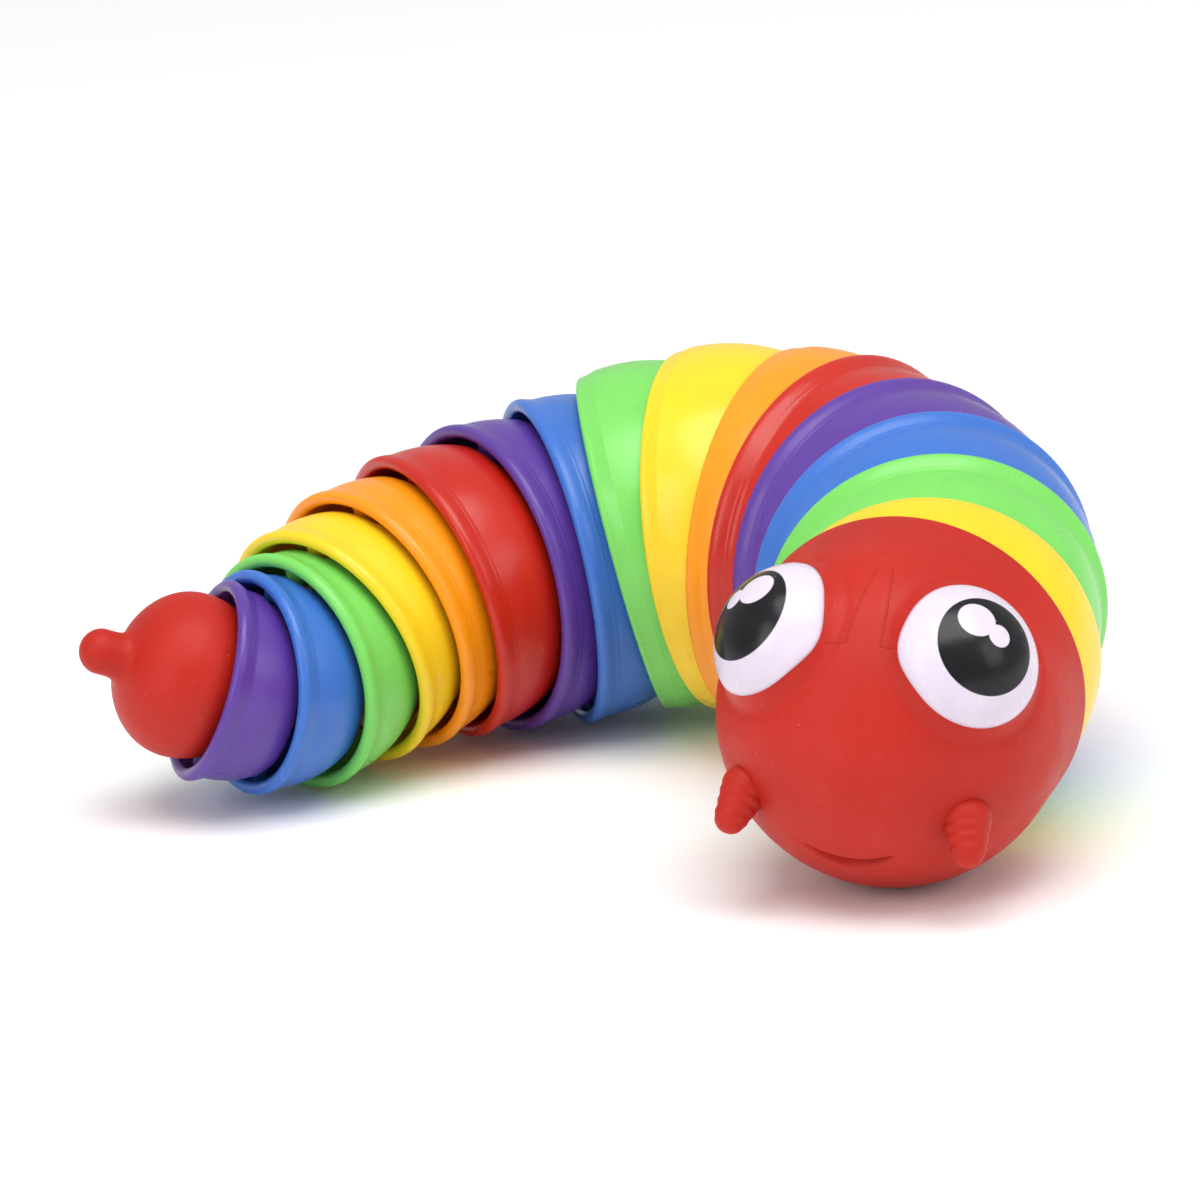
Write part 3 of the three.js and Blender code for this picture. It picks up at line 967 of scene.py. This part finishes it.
def area_light(name, place, target, width, height, watts):
    data = bpy.data.lights.new(name, "AREA")
    data.shape = "RECTANGLE"
    data.size = width
    data.size_y = height
    data.energy = watts
    obj = bpy.data.objects.new(name, data)
    obj.location = place
    aim = Vector(target) - Vector(place)
    obj.rotation_euler = aim.to_track_quat("-Z", "Y").to_euler()
    bpy.context.scene.collection.objects.link(obj)


def studio():
    area_light("overhead_softbox", (0.05, -0.25, 0.95), (0, 0, 0.02), 0.9, 0.7, 8.6)
    area_light("left_softbox", (-0.75, -0.65, 0.50), (0, 0, 0.02), 0.35, 0.7, 2.6)
    area_light("right_softbox", (0.9, -0.5, 0.55), (0, 0, 0.02), 0.5, 0.6, 1.9)
    world = bpy.data.worlds.new("studio")
    world.use_nodes = True
    world.node_tree.nodes["Background"].inputs["Color"].default_value = (1, 1, 1, 1)
    world.node_tree.nodes["Background"].inputs["Strength"].default_value = 0.52
    bpy.context.scene.world = world
    size = FLOOR_HALF_SIDE
    corners = [(x, y, FLOOR_HEIGHT) for x, y in ((-size, -size), (size, -size), (size, size), (-size, size))]
    floor = make_mesh("floor", corners, [(0, 1, 2, 3)], floor_material())
    bpy.context.scene.view_settings.view_transform = "Standard"


# ---------- assembly ----------


def build():
    plastics = {}
    for colour_name, colour in RING_COLOURS:
        plastics[colour_name] = ring_plastic("ring_" + colour_name, colour)
    soft = soft_plastic("soft_red", SOFT_RED)
    tail_tip(soft)
    link(1, soft)
    for piece in range(2, LAST_RING + 1):
        material = plastics[RING_COLOURS[(piece - 2) % len(RING_COLOURS)][0]]
        ring(piece, material)
        link(piece, material)
    head(soft)
    link(HEAD, soft)
    for side in (1, -1):
        horn(side, soft)
    raised_line("forehead_line_1", [(14, 78), (10, 46), (16, 45)], 0.13, soft)
    raised_line("forehead_line_2", [(-8, 76), (-6, 46), (-16, 44)], 0.13, soft)
    eye_sticker(1, printed_eye("eye_print_left", (-0.3, 2.9, 2.1), (1.3, 0.4, 1.3)))
    eye_sticker(-1, printed_eye("eye_print_right", (0.3, 2.8, 2.1), (2.1, 0.3, 1.25)))


camera()
studio()
build()
bpy.context.view_layer.update()
